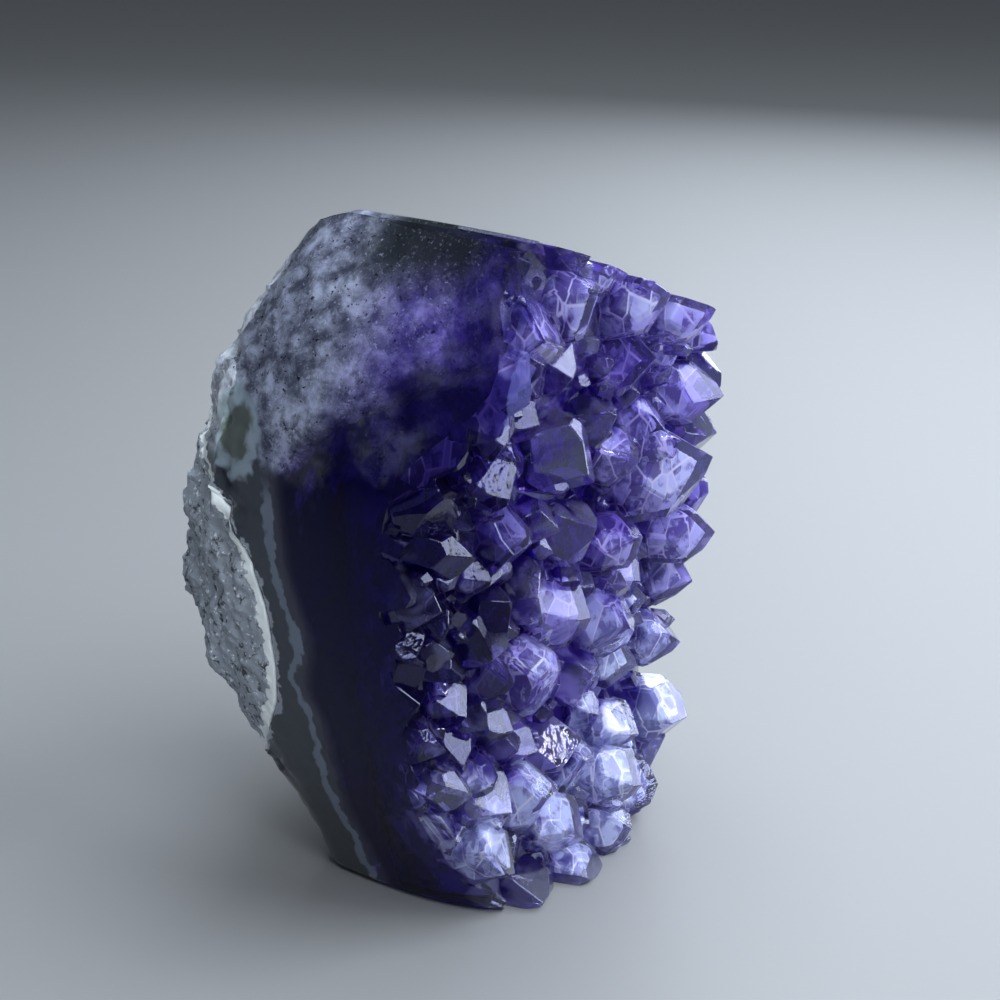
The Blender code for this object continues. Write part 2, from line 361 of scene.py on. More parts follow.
def crystal_form(name):
    clear_selection()
    bpy.ops.mesh.primitive_cylinder_add(
        vertices=6, radius=0.5, depth=2 * ROOT_LENGTH, location=(0, 0, -ROOT_LENGTH / 2)
    )
    obj = bpy.context.object
    obj.name = obj.data.name = name
    bpy.ops.object.transform_apply(location=True, rotation=False, scale=False)
    bpy.ops.object.mode_set(mode="EDIT")
    apothem = 0.5 * math.cos(math.pi / 6)
    height = apothem / math.tan(POINT_SLOPE)
    for side in range(6):
        turn = math.radians(30 + 60 * side)
        back = chance.uniform(*(FAR_FACES if side % 2 else CLOSE_FACES))
        outwards = Vector((math.cos(turn), math.sin(turn), 0.0))
        normal = outwards * math.cos(POINT_SLOPE) + Vector((0, 0, math.sin(POINT_SLOPE)))
        edge = outwards * apothem * (1 + back / 2) + Vector((0, 0, height * (back - 1)))
        bpy.ops.mesh.select_all(action="SELECT")
        bpy.ops.mesh.bisect(plane_co=edge, plane_no=normal, use_fill=True, clear_outer=True)
    bpy.ops.mesh.select_all(action="SELECT")
    bpy.ops.mesh.normals_make_consistent(inside=False)
    bpy.ops.object.mode_set(mode="OBJECT")
    step = obj.modifiers.new("edges", "BEVEL")
    step.width = EDGE_WIDTH
    step.segments = 1
    step.limit_method = "ANGLE"
    bpy.ops.object.modifier_apply(modifier=step.name)
    return obj


forms = [crystal_form(f"form_{k}") for k in range(CRYSTAL_FORMS)]
print("faces of the forms:", [len(f.data.polygons) for f in forms])

# %% [markdown]
# ## Where crystals stand
#
# The large crystals of the photo are placed one by one. The rest find room between them, large ones
# first, with a fixed seed so that the stone is the same each time.

# %% Places of the crystals
# Across, height, how far the tip stands out, width, and the leans sideways and upwards.
HEROES = (
    (31.0, 61.0, 8.0, 7.5, 0.5, 0.1),
    (25.0, 54.0, 7.5, 8.5, 0.5, 0.0),
    (19.0, 45.5, 10.0, 12.5, 0.4, 0.3),
    (25.0, 36.0, 8.5, 8.5, 0.5, 0.0),
    (24.5, 21.5, 6.0, 8.0, 0.3, -0.1),
    (23.0, 12.0, 8.5, 9.0, 0.3, 0.0),
    (11.0, 29.0, 8.0, 9.5, -0.3, 0.2),
    (-4.0, 27.5, 7.5, 9.5, -0.5, 0.3),
    (-23.5, 20.5, 5.5, 8.0, -0.6, 0.7),
    (-20.0, 12.5, 5.5, 11.5, -0.5, 0.5),
    (-6.0, 13.0, 7.0, 8.5, -0.2, 0.3),
    (10.0, 9.0, 7.5, 8.5, 0.1, 0.0),
    (-22.0, 60.0, 6.0, 8.0, -0.6, 0.5),
    (-17.0, 67.0, 4.5, 10.0, -0.4, 0.6),
    (0.0, 70.5, 5.5, 9.0, -0.1, 0.4),
    (11.0, 68.0, 7.0, 8.0, 0.1, 0.3),
    (20.0, 65.0, 7.5, 7.5, 0.3, 0.2),
    (6.0, 56.0, 5.0, 7.5, 0.0, 0.2),
    (-10.0, 46.0, 6.0, 9.5, -0.4, 0.0),
    (3.0, 43.0, 6.0, 8.5, -0.1, 0.3),
    (-12.0, 35.0, 5.0, 8.0, -0.3, -0.2),
)
LARGEST, SMALLEST = 10.5, 4.6
CLOSENESS = 0.36
STANDING_OUT = (0.35, 0.85)
ATTEMPTS = 1200
FANNING = 0.6
SIDE_LEAN, SIDE_SPREAD, UP_LEAN = 0.4, 0.008, (-0.3, 0.4)
ACROSS_RANGE, HEIGHT_RANGE, ABOVE_TOP = (-33.0, 43.0), (-1.0, 84.0), 3.0

wanted = [(*hero, chance.uniform(0, math.pi), chance.randrange(CRYSTAL_FORMS)) for hero in HEROES]
for attempt in range(ATTEMPTS):
    across = chance.uniform(*ACROSS_RANGE)
    height = chance.uniform(*HEIGHT_RANGE)
    width = LARGEST - (LARGEST - SMALLEST) * (attempt / ATTEMPTS) ** 0.5
    reach = width * chance.uniform(*STANDING_OUT)
    leans = (chance.uniform(-SIDE_LEAN, SIDE_LEAN) + across * SIDE_SPREAD, chance.uniform(*UP_LEAN))
    look = (chance.uniform(0, math.pi), chance.randrange(CRYSTAL_FORMS))
    taken = any(math.hypot(across - w[0], height - w[1]) < CLOSENESS * (width + w[3]) for w in wanted)
    if not taken and height < top_height(across) + ABOVE_TOP:
        wanted.append((across, height, reach, width, *leans, *look))
print(len(wanted), "large crystals")

# %% [markdown]
# ## Small crystals
#
# Small points sit on the shoulders of the large ones and fill the gaps between them. They could be
# scattered over the surface as copies, but then they would float at the edges, so each gets a place, a
# lean and a depth of its own and is joined to the stone like the large ones.

# %% Small crystals on the shoulders of large ones
SHOULDER_CRYSTALS = 170
SMALL_OFF, SMALL_SIZE, SMALL_DROP = (0.28, 0.5), (0.2, 0.42), (0.12, 0.4)
SMALL_LEAN, SMALL_TWIST = (-0.3, 0.3), (-0.2, 0.2)
small = random.Random(SEED + 1)
large = list(wanted)
for _ in range(SHOULDER_CRYSTALS):
    across, height, reach, width, aside, upward, turn, _ = small.choice(large)
    way, off = small.uniform(0, 2 * math.pi), width * small.uniform(*SMALL_OFF)
    size = width * small.uniform(*SMALL_SIZE)
    lower = reach - width * small.uniform(*SMALL_DROP)
    leans = (aside + small.uniform(*SMALL_LEAN), upward + small.uniform(*SMALL_LEAN))
    look = (turn + small.uniform(*SMALL_TWIST), small.randrange(CRYSTAL_FORMS))
    spot = (across + off * math.cos(way), height + off * math.sin(way))
    wanted.append((*spot, lower, size, *leans, *look))
print(len(wanted) - len(large), "crystals on shoulders")


# %% Small crystals in the gaps, first along the near side and then everywhere
GAP_STANDING_OUT, GAP_SIDE_LEAN, GAP_UP_LEAN = (0.3, 1.1), (-0.6, 0.6), (-0.5, 0.7)
NEAR_SIDE, NEAR_HEIGHTS = (-28.0, -9.0), (6.0, 66.0)


def fill_between(attempts, largest, smallest, across_range, height_range, spacing):
    for attempt in range(attempts):
        across = small.uniform(*across_range)
        height = small.uniform(*height_range)
        width = largest - (largest - smallest) * (attempt / attempts) ** 0.5
        reach = width * small.uniform(*GAP_STANDING_OUT)
        leans = (small.uniform(*GAP_SIDE_LEAN), small.uniform(*GAP_UP_LEAN))
        look = (small.uniform(0, math.pi), small.randrange(CRYSTAL_FORMS))
        near = any(math.hypot(across - w[0], height - w[1]) < spacing * (width + w[3]) for w in wanted)
        if not near and height < top_height(across) + ABOVE_TOP:
            wanted.append((across, height, reach, width, *leans, *look))


fill_between(500, 6.5, 3.5, NEAR_SIDE, NEAR_HEIGHTS, spacing=0.24)
fill_between(700, 4.0, 1.8, ACROSS_RANGE, HEIGHT_RANGE, spacing=0.3)
print(len(wanted), "crystals in all")


# %% [markdown]
# ## Standing the crystals on the floor
#
# A crystal grows outwards from the floor with some lean. The direction is worked out from the floor's
# own form, between straight out and fanned, and a copy of one of the six forms is turned and scaled
# there.

# %% The floor's place and direction under a crystal
def floor_point(across, height):
    share = min(max(height / top_height(across), 0.0), 1.0)
    deep = blend_keys(share, FLOOR)
    wide = blend_keys(share, FAR if across > 0 else NEAR) + FLOOR_MARGIN
    rest = max(1 - abs(across / wide) ** SQUARENESS, 0.02)
    growth = deep * rest ** (1 / SQUARENESS)
    lean = (growth / deep) ** (SQUARENESS - 1) / deep
    side = math.copysign((abs(across) / wide) ** (SQUARENESS - 1) / wide, across)
    outwards = (GROWTH * lean + ACROSS * side).normalized()
    return growth + shoulder(across, height), outwards


print("floor in the middle:", [round(v, 2) for v in floor_point(0.0, TOP_MIDDLE / 2)[1]])


# %% Where a crystal's tip is and how it leans
def stance(entry):
    """Where a crystal's tip is, where it points, and its turn, as a matrix."""
    across, height, reach, _, aside, upward, turn, _ = entry
    growth, normal = floor_point(across, height)
    lean = ACROSS * aside + Vector((0, 0, upward))
    axis = (normal * FANNING + GROWTH * (1 - FANNING) + lean).normalized()
    spin = axis.to_track_quat("Z", "Y").to_matrix().to_4x4() @ Matrix.Rotation(turn, 4, "Z")
    return place(growth, across, height) + axis * reach * MM, axis, spin


# %% [markdown]
# ## One crystal, and what its faces carry
#
# On a real cluster one crystal is clear and the next one cloudy, and each facet catches light otherwise.
# So the faces themselves carry two values that the material reads: whether they were ground, and a
# value that is how clear the crystal is plus a random share for each facet, which paints that facet
# brighter or darker as painted reflection. Both come through every cut and join, so no facet has to be
# found again later.

# %% Values that the faces carry for the materials
def set_faces(obj, name, value):
    made = obj.data.attributes.new(name, "FLOAT", "FACE")
    made.data.foreach_set("value", [value] * len(obj.data.polygons))


def vary_faces(obj, name, middle, spread):
    made = obj.data.attributes.new(name, "FLOAT", "FACE")
    values = [middle + small.uniform(-spread, spread) for _ in obj.data.polygons]
    made.data.foreach_set("value", values)


# %% One crystal set in its place
def stand_crystal(name, entry, scale, back, group):
    """A copy of a crystal's form, scaled, and set back along its axis by a share of its width."""
    tip, axis, spin = stance(entry)
    width = entry[3] * MM
    one = bpy.data.objects.new(name, forms[entry[7]].data.copy())
    where = Matrix.Translation(tip - axis * back * width)
    one.data.transform(where @ spin @ Matrix.Scale(width * scale, 4))
    group.objects.link(one)
    return one


def new_group(name):
    group = bpy.data.collections.new(name)
    bpy.context.scene.collection.children.link(group)
    return group


def clear_group(group):
    remove(*group.objects)
    bpy.data.collections.remove(group)


# %% [markdown]
# ## The crowd of crystals
#
# Some points of the stone are clear, and others are milky at heart. A crystal with a heart gets a second
# copy of its form, smaller and set back, which is kept apart for the clouds.

# %% The crowd of crystals, and the clouds inside some of them
CLOUDY_WIDTH, CLOUD_SCALE, CLOUD_SET_BACK = 3.5, 0.76, 0.18
FACET_LIGHT_SPREAD = 0.4


def share_cloudy(across, height, is_hero):
    """The share of crystals that are cloudy: more at the lower right, at the foot and at the top."""
    lower_right = 0.5 * smooth(-6, 4, across) * smooth(40, 26, height)
    foot = 0.5 * smooth(-4, -10, across) * smooth(26, 16, height)
    top = 0.35 * smooth(56, 64, height)
    far = 0.2 * smooth(12, 20, across)
    return 0.3 + lower_right + foot + top + far + (0.25 if is_hero else 0.0)


crowd, clouded = new_group("crowd"), new_group("clouded")
for n, entry in enumerate(wanted):
    across, height, _, width = entry[:4]
    clarity_and_facet_light = small.random()
    one = stand_crystal(f"crystal_{n:03d}", entry, 1.0, 0.0, crowd)
    set_faces(one, "polish", 0.0)
    # the spread from facet to facet is painted reflection: brighter and darker facets
    vary_faces(one, "clarity_and_facet_light", clarity_and_facet_light, FACET_LIGHT_SPREAD)
    if width > CLOUDY_WIDTH and clarity_and_facet_light < share_cloudy(across, height, n < len(HEROES)):
        stand_crystal(f"cloud_{n:03d}", entry, CLOUD_SCALE, CLOUD_SET_BACK, clouded)
remove(*forms)


# %% [markdown]
# ## The cloudy body inside
#
# Only the front of the stone is clear. Behind it lies cloudy quartz and, at the rim, banded agate, and
# the clear quartz thickens slowly over it. One closed body is drawn for the cloudy part, as an opaque
# thing inside the clear one, so that the polish runs over both without a seam.

# %% Where the pale line of agate runs, as pairs of height and growth
LINE = (
    (-2.0, 4.5),
    (6.0, 3.4),
    (13.0, 2.5),
    (24.7, 2.5),
    (29.0, 1.0),
    (35.0, 2.3),
    (40.0, 0.8),
    (44.0, -0.4),
    (50.8, -1.1),
    (56.0, -2.0),
    (61.0, -5.0),
    (66.0, -12.0),
    (90.0, -40.0),
)
MILKY_SLANT = 0.55


def line_growth(height):
    return blend_keys(height, 1, LINE)


def milkiness(growth, height):
    return smooth(50, 57, height - MILKY_SLANT * growth)


# %% How deep the cloudy body lies under the polish, in millimetres
SKIN_DEPTH, RIND_STANDS_OUT = 0.35, 0.15
CLEAR_LOW, CLEAR_HIGH = 13.0, 4.0
DARK_REACH, MILKY_REACH = 4.0, 11.0
UNDER_FLOOR, PALE_RISE, LEAST_CLEAR = 4.0, 2.0, 1.2
PALE_PLACE, PALE_SPREAD = (12, 12), (16, 22)


def clear_depth(growth, across, height):
    """How thick, in mm, the clear quartz is over the cloudy body along the ground rim."""
    ragged = 2.5 * noise.noise(Vector((growth, across, height)) * 0.3)
    rind = smooth(-7.5, -9.5, growth + ragged)
    low = CLEAR_LOW * smooth(1.5, 8, growth - line_growth(height))
    high = CLEAR_HIGH * smooth(3, 20, growth)
    milk = milkiness(growth, height)
    return (SKIN_DEPTH + low * (1 - milk) + high * milk) * (1 - rind) - RIND_STANDS_OUT * rind


def boundary(across, height):
    """How far out, in mm, the cloudy body reaches under the crystals."""
    floor, _ = floor_point(across, height)
    at = Vector((across, height, 0.0))
    deep = DARK_REACH + MILKY_REACH * milkiness(12.0, height) * smooth(2, -8, across)
    aside, above = (
        (value - middle) / spread
        for value, middle, spread in zip((across, height), PALE_PLACE, PALE_SPREAD)
    )
    pale = math.exp(-(aside**2) - above**2)
    near_floor = floor - UNDER_FLOOR + PALE_RISE * pale
    reach = deep + (near_floor - deep) * max(smooth(-12, 4, across), pale)
    return min(reach + noise.noise(at * 0.15) + 0.6 * noise.noise(at * 0.45), floor - LEAST_CLEAR)


def body_point(level, angle):
    share, rounding, lift = level
    growth, across = outline(share, angle, rounding)
    height = ring_height(share, growth, across, lift)
    swell = lumps(share, growth, across)
    depth = clear_depth(growth, across, height)
    growth, across = outline(share, angle, rounding + depth)
    growth, across = growth * swell, across * swell
    edge = SKIN_DEPTH if share == 0.0 else -SKIN_DEPTH if share == 1.0 else 0.0
    height = ring_height(share, growth, across, lift) + edge
    return place(min(growth, boundary(across, height)), across, height)


def cloudy_body(name, segments, rings):
    head = place(0.0, 0.0, top_height(0.0) + TOP_DOME - SKIN_DEPTH)
    foot = place(0.0, 0.0, SKIN_DEPTH)
    return sphere_to_rings(name, segments, ring_levels(rings), body_point, foot, head)


# %% [markdown]
# ## The rock's lens
#
# The host rock sits in the back of the quartz like a lens with an uneven border. A ball is pulled into
# that form once, and slightly larger or smaller copies of it cut the seat out of the quartz and the
# rock out of the stone.

# %% A lumpy ball for the rock
ROCK_CENTRE = (-21.5, -20.0, 33.7)
ROCK_RADII = (20.2, 25.0, 23.0)
ROCK_LUMPS = ((1.2, 2.3), (0.48, 5.1))


def rock_lens(name, shrink):
    clear_selection()
    bpy.ops.mesh.primitive_ico_sphere_add(subdivisions=5, radius=1.0)
    obj = bpy.context.object
    obj.name = obj.data.name = name
    for v in obj.data.vertices:
        lump = sum(size * noise.noise(v.co * scale) for size, scale in ROCK_LUMPS)
        lens = zip(ROCK_CENTRE, ROCK_RADII, v.co)
        v.co = place(*(centre + (radius + lump - shrink) * side for centre, radius, side in lens))
    return obj


# %% [markdown]
# ## The clear amethyst
#
# Crystals and the clear quartz under them are one solid. The crowd is joined to the floor, and the
# ground form cuts off all that stands past the polished rim, as the grinding wheel did. Cut faces are
# known as polished, and natural ones keep a value of their own for each facet.

# %% Clear amethyst with its crystals
RIM_GRID, FLOOR_GRID = (190, 100), (96, 32)
skin = ground_form("skin", *RIM_GRID)
report(skin)
set_faces(skin, "polish", 1.0)
set_faces(skin, "clarity_and_facet_light", 0.5)
amethyst = floor_block("amethyst_crystals", *FLOOR_GRID)
set_faces(amethyst, "polish", 0.0)
set_faces(amethyst, "clarity_and_facet_light", 0.3)
carve(amethyst, crowd, "UNION")
carve(amethyst, skin, "INTERSECT")
seat = rock_lens("seat", -0.05)
carve(amethyst, seat, "DIFFERENCE")
report(amethyst)
for name in ("polish", "clarity_and_facet_light"):
    values = [v.value for v in amethyst.data.attributes[name].data]
    print(name, len(values), min(values), max(values), sum(values) / len(values))
clear_group(crowd)

# %% [markdown]
# ## Clouds inside the pale crystals
#
# Many points are milky under a thin clear skin. Each such cloud is the crystal's own form, a little
# smaller and further in.

# %% Joining the clouds
INSET, INSET_MIDDLE, FLOOR_CLEARANCE = 0.975, 38, 0.8
first = clouded.objects[0]
clouds_inside = copy_of(first, "crystal_clouds")
remove(first)
carve(clouds_inside, clouded, "UNION")
inner = copy_of(skin, "inner")
middle = Matrix.Translation((0, 0, INSET_MIDDLE * MM))
inner.data.transform(middle @ Matrix.Scale(INSET, 4) @ middle.inverted())
carve(clouds_inside, inner, "INTERSECT")
floor = floor_block("floor", *FLOOR_GRID)
floor.data.transform(Matrix.Translation(-GROWTH * FLOOR_CLEARANCE * MM))
carve(clouds_inside, floor, "DIFFERENCE")
remove(inner, floor)
clear_group(clouded)
report(clouds_inside)

# %% [markdown]
# ## The cloudy quartz
#
# The body drawn above is built with the same grid as the ground form, so that the natural rind at the
# back lies evenly outside the clear quartz and the rest lies evenly under it.

# %% Cloudy quartz and agate
quartz = cloudy_body("quartz_body", *RIM_GRID)
hollow = rock_lens("hollow", 0.0)
carve(quartz, hollow, "DIFFERENCE")
report(quartz)


# %% [markdown]
# ## Distances that the markings need
#
# Bands of agate follow the rind, and the white border follows the rock. Each piece carries these
# distances at its points, so the materials can draw a band of even width without any image.

# %% Distances kept on the pieces
def rock_distance(growth, across, height):
    """Roughly how far, in mm, a place is outside the lens of rock."""
    offset = [(v - c) / r for v, c, r in zip((growth, across, height), ROCK_CENTRE, ROCK_RADII)]
    away = Vector(offset)
    side = away.normalized()
    lump = sum(size * noise.noise(side * scale) for size, scale in ROCK_LUMPS)
    radius = Vector([r * s for r, s in zip(ROCK_RADII, side)]).length
    return (away.length - 1) * radius - lump


def mark(obj, name, value):
    made = obj.data.attributes.new(name, "FLOAT", "POINT")
    made.data.foreach_set("value", [value(*measures(v.co)) for v in obj.data.vertices])


def layer_distance(growth, across, height):
    return growth - line_growth(height)


# the reach above the floor places the painted shade between the crystals
def reach_above_floor(growth, across, height):
    return growth - floor_point(across, height)[0]


mark(quartz, "layer", layer_distance)
mark(amethyst, "layer", layer_distance)
mark(amethyst, "reach", reach_above_floor)
mark(clouds_inside, "reach", reach_above_floor)
mark(quartz, "rock", rock_distance)

# %% [markdown]
# ## The host rock
#
# Basalt broke off the geode with a rough, grainy face. The lens is cut from the ground form, given an
# even grid of small faces, and pushed in and out by two sizes of grain, less where it was ground with
# the rim.

# %% The host rock
ROCK_GRID = 0.36
GRAINS, GRAIN_SINK, GROUND_GRAIN = ((0.22, 0.9), (0.18, 2.1)), 0.08, 0.4
rock = skin
rock.name = rock.data.name = "basalt"
lens = rock_lens("lens", 0.06)
carve(rock, lens, "INTERSECT")
pick(rock)
grain = rock.modifiers.new("grain", "REMESH")
grain.mode = "VOXEL"
grain.voxel_size = ROCK_GRID * MM
bpy.ops.object.modifier_apply(modifier=grain.name)
outwards = [v.normal.copy() for v in rock.data.vertices]
for v, normal in zip(rock.data.vertices, outwards):
    at = v.co / MM
    growth, _, _ = measures(v.co)
    rough = GROUND_GRAIN + (1 - GROUND_GRAIN) * smooth(8, 16, -growth)
    grains = sum(size * noise.noise(at * scale) for size, scale in GRAINS) - GRAIN_SINK
    v.co += normal * MM * rough * grains
mark(rock, "edge", lambda growth, across, height: -rock_distance(growth, across, height))
report(rock)
remove(seat, hollow, lens)

# %% [markdown]
# ## Flat and round
#
# A crystal's facets are flat and meet in sharp edges, while the ground rim and the rind are round. Smooth
# shading by angle keeps both: edges sharper than the angle stay edges.

# %% Flat facets stay flat, round forms look round
for piece, angle in ((amethyst, 20), (clouds_inside, 20), (quartz, 40), (rock, 60)):
    pick(piece)
    bpy.ops.object.shade_smooth_by_angle(angle=math.radians(angle))


# %% [markdown]
# ## Materials
#
# A few helpers keep the node trees short enough to read from top to bottom.

# %% Helpers for node trees
def add(tree, kind, inputs=None, **settings):
    made = tree.nodes.new(kind)
    for key, value in settings.items():
        setattr(made, key, value)
    for key, value in (inputs or {}).items():
        if isinstance(value, bpy.types.NodeSocket):
            tree.links.new(value, made.inputs[key])
        else:
            made.inputs[key].default_value = value
    return made


def number(tree, operation, *values):
    return add(tree, "ShaderNodeMath", dict(enumerate(values)), operation=operation).outputs[0]


def fade(tree, value, low, high, start=0.0, end=1.0):
    inputs = {"Value": value, "From Min": low, "From Max": high, "To Min": start, "To Max": end}
    return add(tree, "ShaderNodeMapRange", inputs, interpolation_type="SMOOTHSTEP").outputs["Result"]


def blend(tree, factor, first, second):
    made = add(tree, "ShaderNodeMix", {0: factor}, data_type="RGBA")
    for key, value in ((6, first), (7, second)):
        if isinstance(value, bpy.types.NodeSocket):
            tree.links.new(value, made.inputs[key])
        else:
            made.inputs[key].default_value = (*value, 1.0)
    return made.outputs[2]


def clouds(tree, where, scale, detail=2.0, rough=0.5, warp=0.0):
    inputs = {"Vector": where, "Scale": scale, "Detail": detail, "Roughness": rough, "Distortion": warp}
    return add(tree, "ShaderNodeTexNoise", inputs).outputs["Fac"]


def voronoi(tree, where, scale, feature, output):
    inputs = {"Vector": where, "Scale": scale}
    return add(tree, "ShaderNodeTexVoronoi", inputs, feature=feature).outputs[output]


def attribute(tree, name):
    return add(tree, "ShaderNodeAttribute", attribute_name=name).outputs["Fac"]


def from_group(tree, group, *names):
    """A shader group set into a tree, and those of its outputs that are named."""
    made = add(tree, "ShaderNodeGroup", node_tree=group)
    outputs = [made.outputs[name] for name in names]
    return outputs[0] if len(outputs) == 1 else outputs


def new_shader_group(name, **outputs):
    """An empty shader group with the outputs that are named, each with its kind of socket."""
    tree = bpy.data.node_groups.new(name, "ShaderNodeTree")
    for output, kind in outputs.items():
        tree.interface.new_socket(output, in_out="OUTPUT", socket_type=f"NodeSocket{kind}")
    return tree, tree.nodes.new("NodeGroupOutput")


def plain(name, colour, rough):
    """A new material of one colour and roughness, and its shader."""
    made = bpy.data.materials.new(name)
    made.use_nodes = True
    shader = made.node_tree.nodes["Principled BSDF"]
    shader.inputs["Base Color"].default_value = (*colour, 1.0)
    shader.inputs["Roughness"].default_value = rough
    return made, shader


def dress(piece, material):
    piece.data.materials.clear()
    piece.data.materials.append(material)
    print(f"{material.name}: {len(material.node_tree.nodes)} nodes, on {piece.name}")


# %% The stone's own directions, for every material
def measure_group():
    kinds = {"Growth": "Float", "Across": "Float", "Height": "Float", "Place": "Vector"}
    tree, out = new_shader_group("stone_measures", **kinds)
    where = add(tree, "ShaderNodeTexCoord").outputs["Object"]
    inputs = {0: where, "Scale": 1 / MM}
    millimetres = add(tree, "ShaderNodeVectorMath", inputs, operation="SCALE").outputs[0]
    for name, axis in (("Growth", GROWTH), ("Across", ACROSS), ("Height", Vector((0, 0, 1)))):
        along = add(tree, "ShaderNodeVectorMath", {0: millimetres, 1: axis}, operation="DOT_PRODUCT")
        tree.links.new(number(tree, "SUBTRACT", along.outputs["Value"], STAND.dot(axis)), out.inputs[name])
    tree.links.new(millimetres, out.inputs["Place"])
    return tree


stone_measures = measure_group()
print("measures:", [item.name for item in stone_measures.interface.items_tree])

# %% [markdown]
# ## Zones of the stone
#
# The quartz is milky above a slanted level, almost black-violet near the polished rim, pale at the
# lower right and at the foot, and clear again behind the agate line. The black-violet is partly the
# quartz's own dark tone and partly painted shade on the lower near face; the pale is partly pale quartz
# and partly painted light shining through the crystals. One group works these zones out for every
# material, so that a zone runs through all pieces at the same place. The pairs of numbers are where a
# fade begins and where it ends, in millimetres.

# %% Where the stone is milky, deep violet or pale
def zone_group():
    tree, out = new_shader_group("stone_zones", Milky="Float", Deep="Float", Pale="Float", Rim="Float")
    growth, across, height, where = from_group(tree, stone_measures, "Growth", "Across", "Height", "Place")
    drift = fade(tree, clouds(tree, where, 0.16, 3.0), 0.3, 0.7, -6.0, 6.0)
    level = number(tree, "ADD", height, drift)
    slanted = number(tree, "SUBTRACT", level, number(tree, "MULTIPLY", growth, MILKY_SLANT))
    milky = fade(tree, slanted, 49.0, 57.0)
    milky = number(tree, "MULTIPLY", milky, fade(tree, growth, 24.0, 15.0))
    rim = fade(tree, attribute(tree, "layer"), 3.5, 1.0)
    # Deep: partly the quartz's own dark tone, partly painted shade on the lower near face
    deep = fade(tree, across, -3.0, -14.0)
    deep = number(tree, "MULTIPLY", deep, fade(tree, slanted, 57.0, 49.0))
    unlit = number(tree, "MAXIMUM", fade(tree, growth, 14.0, 10.5), fade(tree, level, 14.0, 24.0))
    deep = number(tree, "MULTIPLY", deep, unlit)
    # Pale: partly pale quartz, partly painted light shining through the crystals
    pale = number(tree, "MULTIPLY", fade(tree, across, -2.0, 12.0), fade(tree, level, 38.0, 20.0))
    pale = number(tree, "MULTIPLY", pale, fade(tree, across, 20.0, 30.0, 1.0, 0.45))
    near_foot = fade(tree, level, 24.0, 13.0, 0.0, 0.85)
    near_foot = number(tree, "MULTIPLY", near_foot, fade(tree, growth, 10.0, 13.5))
    pale = number(tree, "MAXIMUM", pale, near_foot)
    for name, value in (("Milky", milky), ("Deep", deep), ("Pale", pale), ("Rim", rim)):
        tree.links.new(value, out.inputs[name])
    return tree


stone_zones = zone_group()
print("zones:", [item.name for item in stone_zones.interface.items_tree])

# %% [markdown]
# ## Milky quartz
#
# The top of the stone is full of tiny bubbles: grey-white curds that turn violet towards the crystals,
# a greenish cast at the top, bright specks, dark pits, and a patch of sugary grains beside the agate
# eye. Layers of noise give all of it.

# %% Milky quartz: curds, bright specks and tiny dark pits
def milk_group():
    tree, out = new_shader_group("milky_quartz", Colour="Color")
    growth, height, where = from_group(tree, stone_measures, "Growth", "Height", "Place")
    curds = fade(tree, clouds(tree, where, 0.42, 5.0, 0.7, 0.3), 0.36, 0.68)
    colour = blend(tree, curds, (0.23, 0.25, 0.31), (0.84, 0.89, 0.98))
    violet = blend(tree, curds, (0.11, 0.10, 0.30), (0.78, 0.80, 1.0))
    colour = blend(tree, fade(tree, growth, 5.0, 14.0), colour, violet)
    green = number(tree, "MULTIPLY", fade(tree, growth, 2.0, 8.0), fade(tree, height, 72.0, 77.0))
    colour = blend(tree, green, colour, (0.09, 0.11, 0.11))
    specks = fade(tree, clouds(tree, where, 2.2, 3.0, 0.6), 0.60, 0.68)
    colour = blend(tree, specks, colour, (0.85, 0.89, 0.95))
    pits = fade(tree, clouds(tree, where, 1.3, 3.0, 0.6), 0.36, 0.31)
    colour = blend(tree, pits, colour, (0.015, 0.015, 0.03))
    beside = number(tree, "MULTIPLY", fade(tree, growth, -1.5, 0.5), fade(tree, growth, 4.5, 2.5))
    beside = number(tree, "MULTIPLY", beside, fade(tree, height, 53.0, 55.0))
    beside = number(tree, "MULTIPLY", beside, fade(tree, height, 63.0, 59.0))
    grains = fade(tree, clouds(tree, where, 1.1, 5.0, 0.7), 0.50, 0.56)
    sugar = number(tree, "MULTIPLY", beside, grains)
    colour = blend(tree, sugar, colour, (0.86, 0.90, 0.97))
    tree.links.new(colour, out.inputs["Colour"])
    return tree


milky_quartz = milk_group()
print("milky quartz:", len(milky_quartz.nodes), "nodes")

# %% [markdown]
# ## The agate eye
#
# Above the rock the cut went through a small knob of agate, which shows as an eye: a green-grey heart
# in a pale ring. Its distance from the middle, a little unsteady, gives both.

# %% The small agate eye beside the rock
EYE = {"growth": (-6.3, 4.2), "height": (56.8, 4.8)}


def eye_group():
    tree, out = new_shader_group("agate_eye", Here="Float", Colour="Color")
    growth, across, height, where = from_group(tree, stone_measures, "Growth", "Across", "Height", "Place")
    around = []
    for value, (middle, radius) in ((growth, EYE["growth"]), (height, EYE["height"])):
        away = number(tree, "DIVIDE", number(tree, "SUBTRACT", value, middle), radius)
        around.append(number(tree, "POWER", number(tree, "ABSOLUTE", away), 2.0))
    away = number(tree, "SQRT", number(tree, "ADD", *around))
    unsteady = fade(tree, clouds(tree, where, 0.5, 3.0), 0.3, 0.7, -0.15, 0.15)
    away = number(tree, "ADD", away, unsteady)
    colour = blend(tree, fade(tree, away, 0.45, 0.75), (0.10, 0.14, 0.09), (0.52, 0.64, 0.68))
    here = number(tree, "MULTIPLY", fade(tree, away, 1.1, 0.9), fade(tree, across, -8.0, -12.0))
    tree.links.new(here, out.inputs["Here"])
    tree.links.new(colour, out.inputs["Colour"])
    return tree


agate_eye = eye_group()
print("agate eye:", len(agate_eye.nodes), "nodes")
